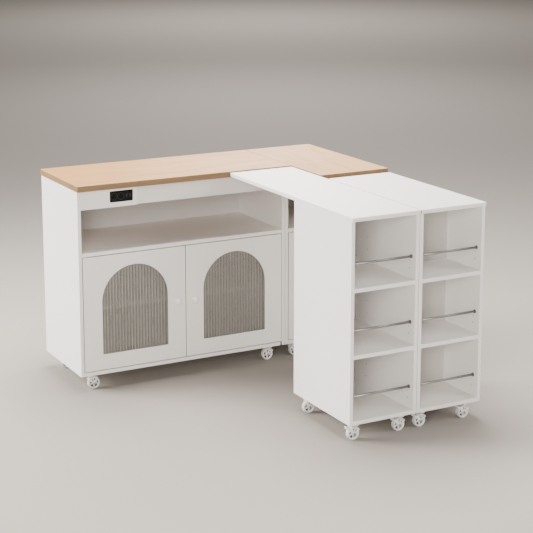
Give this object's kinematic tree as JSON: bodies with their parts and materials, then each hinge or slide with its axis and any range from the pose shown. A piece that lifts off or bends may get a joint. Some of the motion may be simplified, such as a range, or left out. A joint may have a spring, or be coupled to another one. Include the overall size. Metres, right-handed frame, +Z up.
{
  "type": "sewing table",
  "caption": "L-shaped sewing table: wood-topped cabinets with arched glass doors and a power outlet, and rolling white shelf units with long tops and rails.",
  "frame": {"origin": "centre of the whole table's footprint, on the floor", "axes": "+X to the right along the main cabinet's front, +Y from the shelf units' fronts back to the cabinets' back, +Z up"},
  "size_m": [1.356, 1.47, 0.9],
  "materials": {
    "wood_top": "light oak, satin lacquer, grain along the length",
    "white_board": "white melamine board, satin",
    "white_top": "white melamine board, satin, with a fine edge band",
    "fluted_glass": "clear, fluted vertically",
    "white_knob": "semi-gloss white",
    "chrome_rail": "polished",
    "steel": "zinc plated",
    "black_outlet": "fine matte texture",
    "black_fitting": "matte",
    "caster_white": "moulded, semi-gloss",
    "caster_wheel": "hard tread, satin"
  },
  "bodies": {
    "cabinet": {"main_top": "wood_top", "main_left_panel": "white_board", "main_right_panel": "white_board", "main_bottom_panel": "white_board", "main_shelf": "white_board", "main_inner_shelf": "white_board", "main_back_panel": "white_board", "main_apron": "white_board", "outlet_panel": "white_board", "power_outlet": "black_outlet", "side_top": "wood_top", "side_panels": "white_board", "side_shelves": "white_board", "side_back_panel": "white_board", "side_apron": "white_board", "door_hinges": "steel", "cabinet_link": "black_fitting", "cabinet_casters": "caster_white"},
    "left_door": {"door_left": "white_board", "door_left_glass": "fluted_glass", "door_left_knob": "white_knob"},
    "right_door": {"door_right": "white_board", "door_right_glass": "fluted_glass", "door_right_knob": "white_knob"},
    "side_cabinet_door": {"side_door": "white_board", "side_door_glass": "fluted_glass", "side_door_knob": "white_knob"},
    "left_unit": {"left_unit_top": "white_top", "left_unit_sides": "white_board", "left_unit_shelves": "white_board", "left_unit_back": "white_board", "left_unit_rails": "chrome_rail", "left_unit_caster_plates": "steel"},
    "right_unit": {"right_unit_top": "white_top", "right_unit_sides": "white_board", "right_unit_shelves": "white_board", "right_unit_back": "white_board", "right_unit_rails": "chrome_rail", "right_unit_caster_plates": "steel"},
    "left_caster_fl": {"left_fork_fl": "caster_white"},
    "left_rolling_wheel_fl": {"left_wheel_fl": "caster_wheel"},
    "left_brake_fl": {"left_pedal_fl": "caster_white"},
    "left_caster_fr": {"left_fork_fr": "caster_white"},
    "left_rolling_wheel_fr": {"left_wheel_fr": "caster_wheel"},
    "left_brake_fr": {"left_pedal_fr": "caster_white"},
    "left_caster_bl": {"left_fork_bl": "caster_white"},
    "left_rolling_wheel_bl": {"left_wheel_bl": "caster_wheel"},
    "left_caster_br": {"left_fork_br": "caster_white"},
    "left_rolling_wheel_br": {"left_wheel_br": "caster_wheel"},
    "right_caster_fl": {"right_fork_fl": "caster_white"},
    "right_rolling_wheel_fl": {"right_wheel_fl": "caster_wheel"},
    "right_brake_fl": {"right_pedal_fl": "caster_white"},
    "right_caster_fr": {"right_fork_fr": "caster_white"},
    "right_rolling_wheel_fr": {"right_wheel_fr": "caster_wheel"},
    "right_brake_fr": {"right_pedal_fr": "caster_white"},
    "right_caster_bl": {"right_fork_bl": "caster_white"},
    "right_rolling_wheel_bl": {"right_wheel_bl": "caster_wheel"},
    "right_caster_br": {"right_fork_br": "caster_white"},
    "right_rolling_wheel_br": {"right_wheel_br": "caster_wheel"}
  },
  "joints": [
    {"name": "door_left", "type": "hinge", "parent": "cabinet", "child": "left_door", "pos_m": [-0.6475, 0.315, 0.343], "axis": [0, 0, -1], "range_deg": [0, 100]},
    {"name": "door_right", "type": "hinge", "parent": "cabinet", "child": "right_door", "pos_m": [0.2895, 0.315, 0.343], "axis": [0, 0, 1], "range_deg": [0, 90]},
    {"name": "door_side", "type": "hinge", "parent": "cabinet", "child": "side_cabinet_door", "pos_m": [0.3385, 0.315, 0.343], "axis": [0, 0, -1], "range_deg": [0, 90]},
    {"name": "roll_left_unit", "type": "slide", "parent": "cabinet", "child": "left_unit", "axis": [0, -1, 0], "range_m": [0, 0.6]},
    {"name": "roll_right_unit", "type": "slide", "parent": "cabinet", "child": "right_unit", "axis": [0, -1, 0], "range_m": [0, 0.6]},
    {"name": "pedal_left_fl", "type": "hinge", "parent": "left_caster_fl", "child": "left_brake_fl", "pos_m": [0.03759, -0.693, 0.04708], "axis": [0, 1, 0], "range_deg": [0, 15]},
    {"name": "pedal_left_fr", "type": "hinge", "parent": "left_caster_fr", "child": "left_brake_fr", "pos_m": [0.24859, -0.693, 0.04708], "axis": [0, 1, 0], "range_deg": [0, 15]},
    {"name": "pedal_right_fl", "type": "hinge", "parent": "right_caster_fl", "child": "right_brake_fl", "pos_m": [0.34759, -0.693, 0.04708], "axis": [0, 1, 0], "range_deg": [0, 15]},
    {"name": "pedal_right_fr", "type": "hinge", "parent": "right_caster_fr", "child": "right_brake_fr", "pos_m": [0.55859, -0.693, 0.04708], "axis": [0, 1, 0], "range_deg": [0, 15]},
    {"name": "swivel_left_fl", "type": "hinge", "parent": "left_unit", "child": "left_caster_fl", "pos_m": [0.075, -0.693, 0.068], "axis": [0, 0, 1], "continuous": true},
    {"name": "swivel_left_fr", "type": "hinge", "parent": "left_unit", "child": "left_caster_fr", "pos_m": [0.286, -0.693, 0.068], "axis": [0, 0, 1], "continuous": true},
    {"name": "swivel_left_bl", "type": "hinge", "parent": "left_unit", "child": "left_caster_bl", "pos_m": [0.075, -0.347, 0.068], "axis": [0, 0, 1], "continuous": true},
    {"name": "swivel_left_br", "type": "hinge", "parent": "left_unit", "child": "left_caster_br", "pos_m": [0.286, -0.347, 0.068], "axis": [0, 0, 1], "continuous": true},
    {"name": "swivel_right_fl", "type": "hinge", "parent": "right_unit", "child": "right_caster_fl", "pos_m": [0.385, -0.693, 0.068], "axis": [0, 0, 1], "continuous": true},
    {"name": "swivel_right_fr", "type": "hinge", "parent": "right_unit", "child": "right_caster_fr", "pos_m": [0.596, -0.693, 0.068], "axis": [0, 0, 1], "continuous": true},
    {"name": "swivel_right_bl", "type": "hinge", "parent": "right_unit", "child": "right_caster_bl", "pos_m": [0.385, -0.347, 0.068], "axis": [0, 0, 1], "continuous": true},
    {"name": "swivel_right_br", "type": "hinge", "parent": "right_unit", "child": "right_caster_br", "pos_m": [0.596, -0.347, 0.068], "axis": [0, 0, 1], "continuous": true},
    {"name": "wheel_left_fl", "type": "hinge", "parent": "left_caster_fl", "child": "left_rolling_wheel_fl", "pos_m": [0.061, -0.693, 0.026], "axis": [0, 1, 0], "continuous": true},
    {"name": "wheel_left_fr", "type": "hinge", "parent": "left_caster_fr", "child": "left_rolling_wheel_fr", "pos_m": [0.272, -0.693, 0.026], "axis": [0, 1, 0], "continuous": true},
    {"name": "wheel_left_bl", "type": "hinge", "parent": "left_caster_bl", "child": "left_rolling_wheel_bl", "pos_m": [0.061, -0.347, 0.026], "axis": [0, 1, 0], "continuous": true},
    {"name": "wheel_left_br", "type": "hinge", "parent": "left_caster_br", "child": "left_rolling_wheel_br", "pos_m": [0.272, -0.347, 0.026], "axis": [0, 1, 0], "continuous": true},
    {"name": "wheel_right_fl", "type": "hinge", "parent": "right_caster_fl", "child": "right_rolling_wheel_fl", "pos_m": [0.371, -0.693, 0.026], "axis": [0, 1, 0], "continuous": true},
    {"name": "wheel_right_fr", "type": "hinge", "parent": "right_caster_fr", "child": "right_rolling_wheel_fr", "pos_m": [0.582, -0.693, 0.026], "axis": [0, 1, 0], "continuous": true},
    {"name": "wheel_right_bl", "type": "hinge", "parent": "right_caster_bl", "child": "right_rolling_wheel_bl", "pos_m": [0.371, -0.347, 0.026], "axis": [0, 1, 0], "continuous": true},
    {"name": "wheel_right_br", "type": "hinge", "parent": "right_caster_br", "child": "right_rolling_wheel_br", "pos_m": [0.582, -0.347, 0.026], "axis": [0, 1, 0], "continuous": true}
  ]
}
